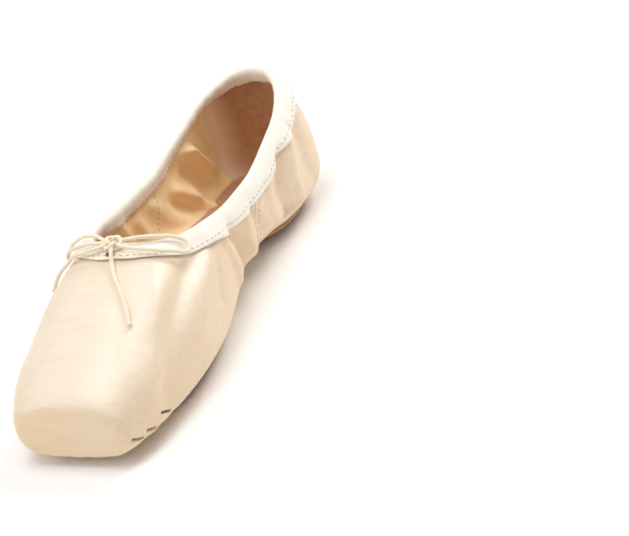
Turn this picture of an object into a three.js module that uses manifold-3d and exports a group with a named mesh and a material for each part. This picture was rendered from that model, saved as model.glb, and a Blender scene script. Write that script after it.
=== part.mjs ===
// A pointe shoe of stretch satin with a split leather sole. It stands empty on its sole, and either
// foot can wear it. Millimetres, +Z up, the toe towards -Y.
import * as THREE from "three";
import { mergeVertices } from "three/addons/utils/BufferGeometryUtils.js";
import Module from "manifold-3d";

const wasm = await Module();
wasm.setup();

// Sizes of the last.
const shoeLength = 232;
const ballWidth = 79;
const heelWidth = 61;
const heelReach = 29; // from the axis that the heel turns round to the back of the shoe
const instepHeight = 60; // crown of the vamp at the throat
const heelHeight = 62;
const archLift = 8;
const platformEdgeRadius = 6;

// Sizes of the pieces.
const boxWall = 2.6; // satin over layers stiffened with paste
const quarterWall = 1.5; // satin and its lining
const seatGap = 0.3; // between pieces that touch
const bendGap = 0.65; // under tape and board, which bridge the tighter bends
const outsoleThickness = 2.2;
const outsoleFlatting = 0.35; // how far the soles are sanded flat where they stand
const outsoleBevel = 0.6;
const lastingMargin = 9; // satin turned in under each outsole
const insoleThickness = 1.8;
const insoleMargin = 8; // from the outline of the last to the insole's edge
const insoleEnd = 22; // length of the insole's rounded front
const casingOutside = 10; // width of the drawstring casing on the outside
const casingInside = 7;
const casingTape = 1;
const casingPuff = 0.4;
const seamRidge = 0.6;
const seamHalfWidth = 1.4;
const seamShoulder = 0.8;
const pleatDepth = 1.1;
const cordRadius = 0.9;
const knotRadius = 2.2;

// Where things lie along the shoe, from the toe tip.
const sideSeam = 137;
const forefootSole = { front: 21, widest: 62, back: 119, width: 62 };
const heelSole = { front: 155, widest: 190, back: 216, width: 45 };
const insoleFront = 16;
const pleatsEnd = 36;
const stiffEnd = 50; // the box begins to thin towards the throat
const softStart = 74;
const soleLineFront = 45; // ends of the line under the foot where the section lines meet
const soleLineBack = 196;

const contactHeight = outsoleThickness + seatGap - outsoleFlatting;
const heelAxis = shoeLength - heelReach;
const heelQuarterTurn = (heelReach * Math.PI) / 2;
const quarterTurn = Math.PI / 2;
const shoeMiddle = (shoeLength + seamRidge) / 2;

// Half sections of the last from the toe to the heel's axis (at 0 to 1), then round the back of the
// heel (at 1 to 2). ball and heel are shares of the two widths. floor is a share of the arch lift, and
// belly, the height of the widest point, of the instep height. instep and back are shares of the two
// heights, which set the crown. under and over are the powers of the two rounded halves.
const sections = [
  { at: 0.03, ball: 0.74, heel: 0, floor: 0.1, belly: 0.31, instep: 0.58, back: 0, under: 3.5, over: 2.5 },
  { at: 0.1, ball: 0.875, heel: 0, floor: 0.05, belly: 0.33, instep: 0.69, back: 0, under: 3.5, over: 2.4 },
  { at: 0.2, ball: 0.955, heel: 0, floor: 0, belly: 0.36, instep: 0.81, back: 0, under: 3.6, over: 2.3 },
  { at: 0.3, ball: 1, heel: 0, floor: 0, belly: 0.38, instep: 0.93, back: 0, under: 3.5, over: 2.3 },
  { at: 0.4, ball: 0.97, heel: 0, floor: 0, belly: 0.4, instep: 1, back: 0, under: 3.4, over: 2.3 },
  { at: 0.49, ball: 0.895, heel: 0, floor: 0.26, belly: 0.42, instep: 1.02, back: 0, under: 3.1, over: 2.6 },
  { at: 0.58, ball: 0.79, heel: 0, floor: 0.68, belly: 0.43, instep: 1.02, back: 0, under: 2.8, over: 3.2 },
  { at: 0.68, ball: 0, heel: 0.96, floor: 1, belly: 0.44, instep: 1.02, back: 0, under: 2.6, over: 3.6 },
  { at: 0.79, ball: 0, heel: 0.94, floor: 0.7, belly: 0.42, instep: 0, back: 0.93, under: 2.7, over: 3.6 },
  { at: 0.9, ball: 0, heel: 0.98, floor: 0.06, belly: 0.4, instep: 0, back: 0.95, under: 2.9, over: 3.2 },
  { at: 1, ball: 0, heel: 1, floor: 0, belly: 0.39, instep: 0, back: 1, under: 3, over: 2.8 },
  { at: 1.25, ball: 0, heel: 1, floor: 0, belly: 0.39, instep: 0, back: 1.03, under: 2.9, over: 2.7 },
  { at: 1.5, ball: 0, heel: 1, floor: 0, belly: 0.39, instep: 0, back: 1.09, under: 2.8, over: 2.6 },
  { at: 1.75, ball: 0, heel: 1, floor: 0, belly: 0.4, instep: 0, back: 1.22, under: 2.7, over: 2.55 },
  { at: 2, ball: 0, heel: 1, floor: 0, belly: 0.4, instep: 0, back: 1.34, under: 2.6, over: 2.5 },
];

// The collar's edge seen from above, from the middle of the throat to the back seam, as shares of
// the shoe's length and of half the heel's width.
const collarPlan = [
  { along: 0.345, open: 0 },
  { along: 0.35, open: 0.325 },
  { along: 0.366, open: 0.555 },
  { along: 0.395, open: 0.73 },
  { along: 0.44, open: 0.845 },
  { along: 0.51, open: 0.905 },
  { along: 0.6, open: 0.905 },
  { along: 0.69, open: 0.865 },
  { along: 0.77, open: 0.82 },
  { along: 0.85, open: 0.75 },
  { along: 0.905, open: 0.63 },
  { along: 0.945, open: 0.465 },
  { along: 0.971, open: 0.26 },
  { along: 0.981, open: 0 },
];

// Section lines run from the collar, over the widest outline, to the line under the foot. Each row
// pairs a share of the outline, from the middle of the toe to the back seam, with one of the collar.
const sectionLines = [
  { outline: 0, collar: 0 },
  { outline: 0.1, collar: 0.035 },
  { outline: 0.25, collar: 0.11 },
  { outline: 0.36, collar: 0.2 },
  { outline: 0.46, collar: 0.31 },
  { outline: 0.6, collar: 0.5 },
  { outline: 0.72, collar: 0.64 },
  { outline: 0.84, collar: 0.8 },
  { outline: 1, collar: 1 },
];

// The drawstring's bow, seen from above: x from the shoe's middle and y from the toe tip, in
// millimetres, and the gap that each point keeps over the casing or the vamp.
const bowKnot = { x: 0, y: 76.5 };
const bowLoopLeft = [
  { x: -4.9, y: 78.2, gap: 1.6 },
  { x: -10, y: 81.5, gap: 1.4 },
  { x: -17, y: 84.8, gap: 1.2 },
  { x: -23.5, y: 87, gap: 0.9 },
  { x: -28, y: 86.5, gap: 0.7 },
  { x: -29, y: 83.3, gap: 0.7 },
  { x: -25, y: 80.3, gap: 0.8 },
  { x: -18, y: 78.4, gap: 1 },
  { x: -11, y: 77.3, gap: 1.3 },
  { x: -5.2, y: 76.3, gap: 1.5 },
];
const bowLoopRight = [
  { x: 4.9, y: 78.4, gap: 1.6 },
  { x: 10, y: 80.6, gap: 1.4 },
  { x: 16, y: 83.8, gap: 1.1 },
  { x: 22, y: 87.3, gap: 0.8 },
  { x: 26.6, y: 87.8, gap: 0.7 },
  { x: 27.8, y: 84.4, gap: 0.6 },
  { x: 24, y: 79.6, gap: 0.6 },
  { x: 17.5, y: 76, gap: 0.8 },
  { x: 11, y: 74.5, gap: 1.1 },
  { x: 5, y: 74.6, gap: 1.5 },
];
const bowEndLeft = [
  { x: -4.8, y: 74.4, gap: 1.4 },
  { x: -11, y: 73.2, gap: 1 },
  { x: -18, y: 73.6, gap: 0.6 },
  { x: -25, y: 75, gap: 0.5 },
  { x: -31.5, y: 75.2, gap: 0.5 },
  { x: -36, y: 73.6, gap: 0.6 },
];
const bowEndRight = [
  { x: 1.2, y: 71.6, gap: 1.4 },
  { x: 3, y: 66, gap: 0.5 },
  { x: 6.5, y: 60, gap: 0.4 },
  { x: 11.5, y: 53.5, gap: 0.4 },
  { x: 16.5, y: 46.5, gap: 0.4 },
  { x: 20, y: 39.5, gap: 0.4 },
];

// Mesh density.
const toeSpacing = 5.2;
const sideSpacing = 6.2;
const heelSpacing = 5;
const toeStretch = 62; // outline length that has the toe's spacing
const rowsAbove = 10;
const rowsBelow = 10;
const innerRows = [0, 1, 2, 4, 6, 8, 10, 12, 14, 16, 18, 20]; // rows that the lining keeps
const bendWeight = 14; // millimetres that one radian of bend counts for when rows are spread
const fineSteps = 90;
const insoleSides = 64;
const casingSpacing = 5;
const cordSides = 8;
const cordStep = 2.5; // in diameters
const knotSteps = 26;
const knotSides = 6;

// A smooth curve through the values of a table, without overshoot.
function curveThrough(x, y) {
  const slope = y.slice(1).map((v, i) => (v - y[i]) / (x[i + 1] - x[i]));
  const tangent = y.map((_, i) => {
    if (i === 0) return slope[0];
    if (i === y.length - 1) return slope[i - 1];
    const product = slope[i - 1] * slope[i];
    return product <= 0 ? 0 : (2 * product) / (slope[i - 1] + slope[i]);
  });
  return (value) => {
    const t = THREE.MathUtils.clamp(value, x[0], x[x.length - 1]);
    const i = Math.min(x.findLastIndex((v) => v <= t), x.length - 2);
    const step = x[i + 1] - x[i];
    const u = (t - x[i]) / step;
    const start = y[i] * (1 + 2 * u) * (1 - u) ** 2 + step * tangent[i] * u * (1 - u) ** 2;
    return start + y[i + 1] * u * u * (3 - 2 * u) + step * tangent[i + 1] * u * u * (u - 1);
  };
}

// Distances run from the toe tip to the heel's axis, and then round the heel.
const sectionDistances = sections.map(({ at }) =>
  at <= 1 ? at * heelAxis : heelAxis + (at - 1) * heelQuarterTurn,
);
const bySection = (value) => curveThrough(sectionDistances, sections.map(value));
const halfWidthAt = bySection((r) => (r.ball * ballWidth + r.heel * heelWidth) / 2);
const floorAt = bySection((r) => contactHeight + r.floor * archLift);
const bellyAt = bySection((r) => r.belly * instepHeight);
const crownAt = bySection((r) => r.instep * instepHeight + r.back * heelHeight);
const underAt = bySection((r) => r.under);
const overAt = bySection((r) => r.over);

// The section that a point lies in: its distance, and the point's reach from the shoe's middle.
function sectionOf(x, y) {
  if (y <= heelAxis) return { distance: y, reach: Math.abs(x) };
  const back = ((y - heelAxis) * heelWidth) / 2 / heelReach;
  const turn = Math.atan2(back, Math.abs(x)) / quarterTurn;
  return { distance: heelAxis + turn * heelQuarterTurn, reach: Math.hypot(x, back) };
}

// Under 1 inside the last, 1 on its surface and above 1 outside. The toe is rounded to a flat tip.
function fullness(x, y, z) {
  if (y < 0) return 2;
  const { distance, reach } = sectionOf(x, y);
  const short = Math.max(0, platformEdgeRadius - distance);
  const inset = platformEdgeRadius - Math.sqrt(platformEdgeRadius ** 2 - short ** 2);
  const belly = bellyAt(distance);
  const rise = z > belly ? crownAt(distance) - inset - belly : belly - floorAt(distance) - inset;
  const power = z > belly ? overAt(distance) : underAt(distance);
  const across = reach / (halfWidthAt(distance) - inset);
  return (across ** power + (Math.abs(z - belly) / rise) ** power) ** (1 / power);
}

// Where a ray from inside the last meets its surface.
function castFrom(origin, direction) {
  const step = direction.clone().normalize();
  let near = 0;
  let far = shoeLength;
  for (let i = 0; i < 44; i++) {
    const middle = (near + far) / 2;
    const p = origin.clone().addScaledVector(step, middle);
    if (fullness(p.x, p.y, p.z) < 1) near = middle;
    else far = middle;
  }
  return origin.clone().addScaledVector(step, (near + far) / 2);
}

// Outward normal of the last away from the flat toe tip.
function normalAt(p) {
  const h = 0.05;
  const slope = (dx, dy, dz) =>
    fullness(p.x + dx, p.y + dy, p.z + dz) - fullness(p.x - dx, p.y - dy, p.z - dz);
  return new THREE.Vector3(slope(h, 0, 0), slope(0, h, 0), slope(0, 0, h)).normalize();
}

// A point on the last that is nearest the given one, seen from the shoe's middle.
function ontoLast(p) {
  const middle = new THREE.Vector3(0, Math.min(p.y, heelAxis), bellyAt(sectionOf(p.x, p.y).distance));
  return castFrom(middle, p.clone().sub(middle));
}

function wallAt(y) {
  return THREE.MathUtils.lerp(boxWall, quarterWall, THREE.MathUtils.smoothstep(y, stiffEnd, softStart));
}

// A run of points spread evenly over a polyline, by its length and its bend.
function respace(points, count, weight) {
  const reach = [0];
  for (let i = 1; i < points.length; i++) {
    const step = points[i].clone().sub(points[i - 1]);
    const before = i > 1 ? points[i - 1].clone().sub(points[i - 2]) : step;
    const bend = step.length() > 1e-9 && before.length() > 1e-9 ? step.angleTo(before) : 0;
    reach.push(reach[i - 1] + step.length() + weight * bend);
  }
  return Array.from({ length: count + 1 }, (_, n) => {
    const target = (reach[reach.length - 1] * n) / count;
    const i = Math.max(1, n < count ? reach.findIndex((v) => v >= target) : reach.length - 1);
    const span = reach[i] - reach[i - 1];
    return points[i - 1].clone().lerp(points[i], span > 0 ? (target - reach[i - 1]) / span : 0);
  });
}

// The widest outline of one side from the middle of the toe to the back seam, seen from above.
function outlinePlan() {
  const points = [new THREE.Vector2(0, 0)];
  const flat = halfWidthAt(0) - platformEdgeRadius;
  for (let i = 0; i <= fineSteps; i++) {
    const turn = (i / fineSteps) * quarterTurn;
    const y = platformEdgeRadius * (1 - Math.cos(turn));
    points.push(new THREE.Vector2(flat + platformEdgeRadius * Math.sin(turn), y));
  }
  for (let i = 1; i <= 4 * fineSteps; i++) {
    const y = THREE.MathUtils.lerp(platformEdgeRadius, heelAxis, i / (4 * fineSteps));
    points.push(new THREE.Vector2(halfWidthAt(y), y));
  }
  for (let i = 1; i <= fineSteps; i++) {
    const turn = (i / fineSteps) * quarterTurn;
    const reach = halfWidthAt(heelAxis + (i / fineSteps) * heelQuarterTurn);
    const back = (reach * Math.sin(turn) * heelReach) / (heelWidth / 2);
    points.push(new THREE.Vector2(reach * Math.cos(turn), heelAxis + back));
  }
  return points;
}

// A walk along a plan polyline by distance.
function walkAlong(points) {
  const reach = [0];
  for (let i = 1; i < points.length; i++) reach.push(reach[i - 1] + points[i].distanceTo(points[i - 1]));
  const total = reach[reach.length - 1];
  const pointAt = (distance) => {
    const target = THREE.MathUtils.clamp(distance, 0, total);
    const i = THREE.MathUtils.clamp(reach.findIndex((v) => v >= target), 1, reach.length - 1);
    return points[i - 1].clone().lerp(points[i], (target - reach[i - 1]) / (reach[i] - reach[i - 1]));
  };
  return { total, pointAt, reach, points };
}

const outline = walkAlong(outlinePlan());
const collarLoop = new THREE.CatmullRomCurve3(
  [...collarPlan, ...collarPlan.slice(1, -1).reverse().map((r) => ({ ...r, open: -r.open }))].map(
    ({ along, open }) => new THREE.Vector3((open * heelWidth) / 2, along * shoeLength, 0),
  ),
  true,
);
const collarWalk = walkAlong(
  Array.from({ length: fineSteps + 1 }, (_, i) => collarLoop.getPoint(i / fineSteps / 2)).map(
    (p) => new THREE.Vector2(p.x, p.y),
  ),
);
const collarShareAt = curveThrough(
  sectionLines.map((r) => r.outline),
  sectionLines.map((r) => r.collar),
);

// Distances along the outline at which the section lines stand, closer at the toe and at the seams.
function lineDistances() {
  const seamIndex = outline.points.findIndex((p) => p.y >= sideSeam);
  const seam = outline.reach[seamIndex];
  const heelStart = outline.total - heelQuarterTurn;
  const rib = [-seamHalfWidth - seamShoulder, -seamHalfWidth, seamHalfWidth, seamHalfWidth + seamShoulder];
  const stretch = (from, to, spacing) => {
    const count = Math.round((to - from) / spacing);
    return Array.from({ length: count }, (_, i) => from + ((to - from) * i) / count);
  };
  return [
    ...stretch(0, toeStretch, toeSpacing),
    ...stretch(toeStretch, seam + rib[0], sideSpacing),
    ...rib.slice(0, 3).map((d) => seam + d),
    ...stretch(seam + rib[3], heelStart, sideSpacing),
    ...stretch(heelStart, outline.total + rib[0], heelSpacing),
    outline.total + rib[0],
    outline.total + rib[1],
    outline.total,
  ].map((distance) => {
    const atSide = Math.abs(distance - seam) <= seamHalfWidth + 0.01;
    const atBack = outline.total - distance <= seamHalfWidth + 0.01;
    return { distance, atSide, atBack };
  });
}

// The collar's edge on the last, at a distance from the middle of the throat.
function rimAt(distance) {
  const plan = collarWalk.pointAt(distance);
  const height = bellyAt(sectionOf(plan.x, plan.y).distance);
  return castFrom(new THREE.Vector3(plan.x, plan.y, height), new THREE.Vector3(0, 0, 1));
}

// Points on the last as seen from inside it, turning from one point to another.
function sweep(origin, from, to) {
  const [a, b] = [from, to].map((p) => p.clone().sub(origin).normalize());
  const angle = a.angleTo(b);
  return Array.from({ length: fineSteps + 1 }, (_, i) => {
    const turn = (angle * i) / fineSteps;
    const direction = a.clone().multiplyScalar(Math.sin(angle - turn));
    return castFrom(origin, direction.addScaledVector(b, Math.sin(turn)));
  });
}

// One section line: from the collar over the widest outline to the line under the foot.
function sectionLine({ distance }) {
  const plan = outline.pointAt(distance);
  const height = bellyAt(sectionOf(plan.x, plan.y).distance);
  const widest = new THREE.Vector3(plan.x, plan.y, height);
  const rim = rimAt(collarWalk.total * collarShareAt(distance / outline.total));
  const inside = new THREE.Vector3(0, Math.min(rim.y, heelAxis), height);
  const overSole = new THREE.Vector3(0, THREE.MathUtils.clamp(plan.y, soleLineFront, soleLineBack), height);
  const sole = overSole.clone().setZ(0);
  const above = respace(sweep(inside, rim, widest), rowsAbove, bendWeight);
  const below = respace(sweep(overSole, widest, sole), rowsBelow, bendWeight);
  return [...above, ...below.slice(1)];
}

const lines = lineDistances();
const smoothSkin = lines.map(sectionLine);
const lastLine = lines.length - 1;
const lastRow = rowsAbove + rowsBelow;
const mirrored = (p) => new THREE.Vector3(-p.x, p.y, p.z);

// Outward normals of the grid, with each neighbour beyond the middle taken from the other side.
function gridNormal(grid, j, k) {
  const along = (j < lastLine ? grid[j + 1][k] : mirrored(grid[j - 1][k])).clone();
  along.sub(j > 0 ? grid[j - 1][k] : mirrored(grid[1][k]));
  const down = (k < lastRow ? grid[j][k + 1] : mirrored(grid[j][k - 1])).clone();
  down.sub(grid[j][Math.max(k - 1, 0)]);
  const normal = down.cross(along);
  return normal.length() > 1e-6 ? normal.normalize() : new THREE.Vector3(0, 0, -1);
}

const skinNormals = smoothSkin.map((line, j) => line.map((_, k) => gridNormal(smoothSkin, j, k)));

// Pleats are gathered under the toe: every other section line is folded in where the satin turns under.
function pleatAt(j, k, p) {
  const fold = j % 2 === 1 ? 1 : 0;
  const start = THREE.MathUtils.smoothstep(-skinNormals[j][k].z, 0.35, 0.9);
  const end = 1 - THREE.MathUtils.smoothstep(p.y, pleatsEnd - 6, pleatsEnd + 4);
  return -pleatDepth * fold * start * end;
}

// The side and back seams stand up as ribs below the casing and clear of the soles.
function ribAt(j, k, p) {
  const depth = smoothSkin[j][0].distanceTo(p);
  if (depth < casingOutside + seatGap + 1) return 0;
  if (lines[j].atSide) return seamRidge;
  const underHeel = k > rowsAbove + rowsBelow / 2;
  return lines[j].atBack && !underHeel ? seamRidge : 0;
}

const outerSkin = smoothSkin.map((line, j) =>
  line.map((p, k) => p.clone().addScaledVector(skinNormals[j][k], pleatAt(j, k, p) + ribAt(j, k, p))),
);
const innerSkin = smoothSkin.map((line, j) =>
  line.map((p, k) => p.clone().addScaledVector(skinNormals[j][k], -wallAt(p.y))),
);

// Triangles gathered into one closed geometry, with the shoe's length centred on the origin.
class Skin {
  constructor() {
    this.corners = [];
  }

  triangle(a, b, c) {
    const flat = Math.min(a.distanceTo(b), b.distanceTo(c), c.distanceTo(a)) < 1e-4;
    if (!flat) this.corners.push(a, b, c);
  }

  quad(a, b, c, d) {
    this.triangle(a, b, c);
    this.triangle(a, c, d);
  }

  // The same quad on both sides of the shoe, facing out on each.
  pair(a, b, c, d) {
    this.quad(a, b, c, d);
    this.quad(...[d, c, b, a].map(mirrored));
  }

  geometry() {
    const values = this.corners.flatMap((p) => [Math.abs(p.x) < 1e-6 ? 0 : p.x, p.y - shoeMiddle, p.z]);
    const made = new THREE.BufferGeometry();
    made.setAttribute("position", new THREE.Float32BufferAttribute(values, 3));
    return mergeVertices(made, 1e-4);
  }
}

function toSolid(geometry) {
  const bare = new THREE.BufferGeometry();
  bare.setAttribute("position", geometry.getAttribute("position"));
  if (geometry.index) bare.setIndex(geometry.index);
  const merged = mergeVertices(bare, 1e-4);
  const vertProperties = new Float32Array(merged.getAttribute("position").array);
  const triVerts = new Uint32Array(merged.index.array);
  return new wasm.Manifold(new wasm.Mesh({ numProp: 3, vertProperties, triVerts }));
}

function toGeometry(solid) {
  const mesh = solid.getMesh();
  const made = new THREE.BufferGeometry();
  made.setAttribute("position", new THREE.BufferAttribute(new Float32Array(mesh.vertProperties), 3));
  made.setIndex(new THREE.BufferAttribute(new Uint32Array(mesh.triVerts), 1));
  return made;
}

// The upper: satin outside, lining inside, joined by the collar's edge.
function upperShell() {
  const skin = new Skin();
  for (let j = 0; j < lastLine; j++) {
    for (let k = 0; k < lastRow; k++) {
      skin.pair(outerSkin[j][k], outerSkin[j][k + 1], outerSkin[j + 1][k + 1], outerSkin[j + 1][k]);
    }
    for (let n = 1; n < innerRows.length; n++) {
      const [k, next] = [innerRows[n - 1], innerRows[n]];
      skin.pair(innerSkin[j + 1][k], innerSkin[j + 1][next], innerSkin[j][next], innerSkin[j][k]);
    }
    skin.pair(innerSkin[j][0], outerSkin[j][0], outerSkin[j + 1][0], innerSkin[j + 1][0]);
  }
  return skin.geometry();
}

// Outline of a sole from above: two half ovals that meet where it is widest.
function soleOutline({ front, widest, back, width }, count, inset = 0) {
  return Array.from({ length: count }, (_, i) => {
    const turn = (i / count) * 2 * Math.PI;
    const reach = (Math.cos(turn) < 0 ? widest - front : back - widest) - inset;
    return new THREE.Vector2((width / 2 - inset) * Math.sin(turn), widest + reach * Math.cos(turn));
  });
}

// Height of the last's underside at a point in plan.
function undersideAt(x, y) {
  const { distance, reach } = sectionOf(x, y);
  const belly = bellyAt(distance);
  const across = Math.min(1, reach / halfWidthAt(distance));
  const power = underAt(distance);
  return belly - (belly - floorAt(distance)) * (1 - across ** power) ** (1 / power);
}

// A thin pad over an outline, ring by ring to a line down its middle, under and over given heights.
function pad(edge, middleLine, rings, topAt, bottomAt, edgeLift) {
  const skin = new Skin();
  const middles = edge.map((p) => new THREE.Vector2(0, THREE.MathUtils.clamp(p.y, ...middleLine)));
  const ring = (share, heightAt) =>
    edge.map((p, i) => {
      const q = middles[i].clone().lerp(p, share);
      return new THREE.Vector3(q.x, q.y, heightAt(q.x, q.y, share));
    });
  const tops = rings.map((share) => ring(share, topAt));
  const bottoms = rings.map((share, n) => ring(share, (x, y) => bottomAt(x, y) + (n ? 0 : edgeLift)));
  const band = (a, b) => {
    edge.forEach((_, i) => {
      const next = (i + 1) % edge.length;
      skin.quad(a[i], b[i], b[next], a[next]);
    });
  };
  for (let n = 1; n < rings.length; n++) {
    band(tops[n - 1], tops[n]);
    band(bottoms[n], bottoms[n - 1]);
  }
  band(bottoms[0], tops[0]);
  return skin.geometry();
}

function outsole(shape, count) {
  const edge = soleOutline(shape, count);
  const middleLine = [shape.front + shape.width / 2, shape.back - shape.width / 2];
  const rings = [1, 1 - (2 * outsoleBevel) / shape.width, 0.84, 0.6, 0.3, 0];
  const top = (x, y) => undersideAt(x, y) - seatGap;
  const bottom = (x, y) => Math.max(0, top(x, y) - outsoleThickness);
  return pad(edge, middleLine, rings, top, bottom, outsoleBevel);
}

function openingUnder(shape) {
  const edge = soleOutline(shape, 28, lastingMargin);
  const made = new THREE.ExtrudeGeometry(new THREE.Shape(edge), {
    depth: archLift + 2 * boxWall,
    bevelEnabled: false,
  });
  made.translate(0, -shoeMiddle, 0);
  return toSolid(made);
}

function upper() {
  const shell = toSolid(upperShell());
  return toGeometry(shell.subtract(openingUnder(forefootSole)).subtract(openingUnder(heelSole)));
}

// Half the insole's width: the last's own, less a margin, with a rounded front.
function insoleHalfWidth(y) {
  const back = Math.max(0, y - heelAxis) / (heelReach - insoleMargin);
  const front = Math.max(0, insoleFront + insoleEnd - y) / insoleEnd;
  const rounding = Math.sqrt(Math.max(0, 1 - back * back)) * Math.sqrt(Math.max(0, 1 - front * front));
  return (halfWidthAt(Math.min(y, heelAxis)) - insoleMargin) * rounding;
}

function insole() {
  const ends = [insoleFront, shoeLength - insoleMargin];
  const edge = Array.from({ length: insoleSides }, (_, i) => {
    const turn = (i / insoleSides) * 2 * Math.PI;
    const y = THREE.MathUtils.lerp(...ends, (1 - Math.cos(turn)) / 2);
    return new THREE.Vector2(insoleHalfWidth(y) * Math.sign(Math.sin(turn)), y);
  });
  const bottom = (x, y) => {
    const z = undersideAt(x, y);
    const slope = -normalAt(new THREE.Vector3(x, y, z)).z;
    return z + (wallAt(y) + bendGap) / slope;
  };
  const top = (x, y) => bottom(x, y) + insoleThickness;
  const middleLine = [insoleFront + insoleEnd, heelAxis];
  return pad(edge.reverse(), middleLine, [1, 0.66, 0.33, 0], top, bottom, 0);
}

// The drawstring casing, wrapped round the collar's edge. depth runs away from the edge over the
// last, and lift out of it.
function casingProfile(wall) {
  const outer = bendGap + casingTape;
  const inner = wall + bendGap;
  return [
    { depth: casingOutside, lift: bendGap },
    { depth: casingOutside, lift: outer },
    { depth: casingOutside / 2, lift: outer + casingPuff },
    { depth: 0, lift: outer },
    { depth: -outer, lift: -wall / 2 },
    { depth: 0, lift: -inner - casingTape },
    { depth: casingInside / 2, lift: -inner - casingTape - casingPuff / 2 },
    { depth: casingInside, lift: -inner - casingTape },
    { depth: casingInside, lift: -inner },
    { depth: 0, lift: -inner },
    { depth: -bendGap, lift: -wall / 2 },
    { depth: 0, lift: bendGap },
    { depth: casingOutside / 2, lift: bendGap },
  ];
}

function casingStation(distance) {
  const step = 0.5;
  const atMiddle = distance < step || distance > collarWalk.total - step;
  const across = new THREE.Vector3(distance < step ? 1 : -1, 0, 0);
  const run = atMiddle ? across : rimAt(distance + step).sub(rimAt(distance - step)).normalize();
  const rim = rimAt(distance);
  const away = run.clone().cross(normalAt(rim)).normalize();
  return casingProfile(wallAt(rim.y)).map(({ depth, lift }) => {
    const base = ontoLast(rim.clone().addScaledVector(away, depth));
    return base.clone().addScaledVector(normalAt(base), lift);
  });
}

function casing() {
  const skin = new Skin();
  const count = Math.round(collarWalk.total / casingSpacing);
  const stations = Array.from({ length: count + 1 }, (_, i) => casingStation((collarWalk.total * i) / count));
  for (let i = 1; i < stations.length; i++) {
    const [a, b] = [stations[i - 1], stations[i]];
    a.forEach((_, n) => {
      const next = (n + 1) % a.length;
      skin.pair(a[n], b[n], b[next], a[next]);
    });
  }
  return skin.geometry();
}

// Where a point of the bow lies: its gap over the casing, or over the vamp past the casing's edge.
function overUpper({ x, y, gap }) {
  const top = ontoTop(x, y);
  const reach = Math.min(...collarTops.map((p) => p.distanceTo(top)));
  const covered = 1 - THREE.MathUtils.smoothstep(reach, casingOutside, casingOutside + 3);
  const cover = covered * (bendGap + casingTape + casingPuff);
  return top.addScaledVector(normalAt(top), cover + gap + cordRadius);
}

function ontoTop(x, y) {
  const height = bellyAt(sectionOf(x, y).distance);
  return castFrom(new THREE.Vector3(x, y, height), new THREE.Vector3(0, 0, 1));
}

const collarTops = Array.from({ length: 2 * fineSteps + 1 }, (_, i) => {
  const p = rimAt((collarWalk.total * Math.abs(i - fineSteps)) / fineSteps);
  return i < fineSteps ? mirrored(p) : p;
});

function cord(route) {
  const points = route.map(overUpper).map((p) => p.setY(p.y - shoeMiddle));
  const path = new THREE.CatmullRomCurve3(points);
  const circle = Array.from({ length: cordSides }, (_, i) => {
    const turn = (i / cordSides) * 2 * Math.PI;
    return new THREE.Vector2(cordRadius * Math.cos(turn), cordRadius * Math.sin(turn));
  });
  const steps = Math.round(path.getLength() / (cordStep * 2 * cordRadius));
  const options = { steps, bevelEnabled: false, extrudePath: path };
  return toGeometry(toSolid(new THREE.ExtrudeGeometry(new THREE.Shape(circle), options)));
}

function knot() {
  const made = new THREE.TorusKnotGeometry(knotRadius, cordRadius, knotSteps, knotSides, 2, 3);
  const top = ontoTop(bowKnot.x, bowKnot.y);
  const up = normalAt(top);
  const depth = knotRadius / 2 + cordRadius;
  const seat = top.addScaledVector(up, bendGap + casingTape + casingPuff + seatGap + depth);
  made.applyQuaternion(new THREE.Quaternion().setFromUnitVectors(new THREE.Vector3(0, 0, 1), up));
  made.translate(seat.x, seat.y - shoeMiddle, seat.z);
  return toGeometry(toSolid(made));
}

function named(name, geometry, material) {
  const mesh = new THREE.Mesh(geometry, material);
  mesh.name = name;
  return mesh;
}

const satin = new THREE.MeshStandardMaterial({ color: 0xe9cfae, roughness: 0.42, metalness: 0 });
const tape = new THREE.MeshStandardMaterial({ color: 0xf0dfc6, roughness: 0.75, metalness: 0 });
const suede = new THREE.MeshStandardMaterial({ color: 0x85543a, roughness: 0.95, metalness: 0 });
const soleLeather = new THREE.MeshStandardMaterial({ color: 0xb98562, roughness: 0.7, metalness: 0 });

const elastic = new THREE.MeshStandardMaterial({ color: 0xefe0c8, roughness: 0.8, metalness: 0 });

const shoe = new THREE.Group();
shoe.add(named("upper", upper(), satin));
shoe.add(named("drawstring_casing", casing(), tape));
shoe.add(named("insole", insole(), suede));
shoe.add(named("outsole_forefoot", outsole(forefootSole, 36), soleLeather));
shoe.add(named("outsole_heel", outsole(heelSole, 30), soleLeather));
shoe.add(named("bow_knot", knot(), elastic));
shoe.add(named("bow_loop_left", cord(bowLoopLeft), elastic));
shoe.add(named("bow_loop_right", cord(bowLoopRight), elastic));
shoe.add(named("bow_end_left", cord(bowEndLeft), elastic));
shoe.add(named("bow_end_right", cord(bowEndRight), elastic));

export default shoe;
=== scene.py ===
# %% [markdown]
# # A pointe shoe
#
# A pointe shoe is a satin upper over a stiff toe box, with a drawstring casing round its collar and a
# split leather sole. The CAD model already has these as plain solids in their right places. Here each
# one gets its cloth or leather, its seams and its folds.

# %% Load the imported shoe
import math

import bmesh
import bpy
import numpy as np
from mathutils import Matrix, Vector
from mathutils.bvhtree import BVHTree
from mathutils.kdtree import KDTree


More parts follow.
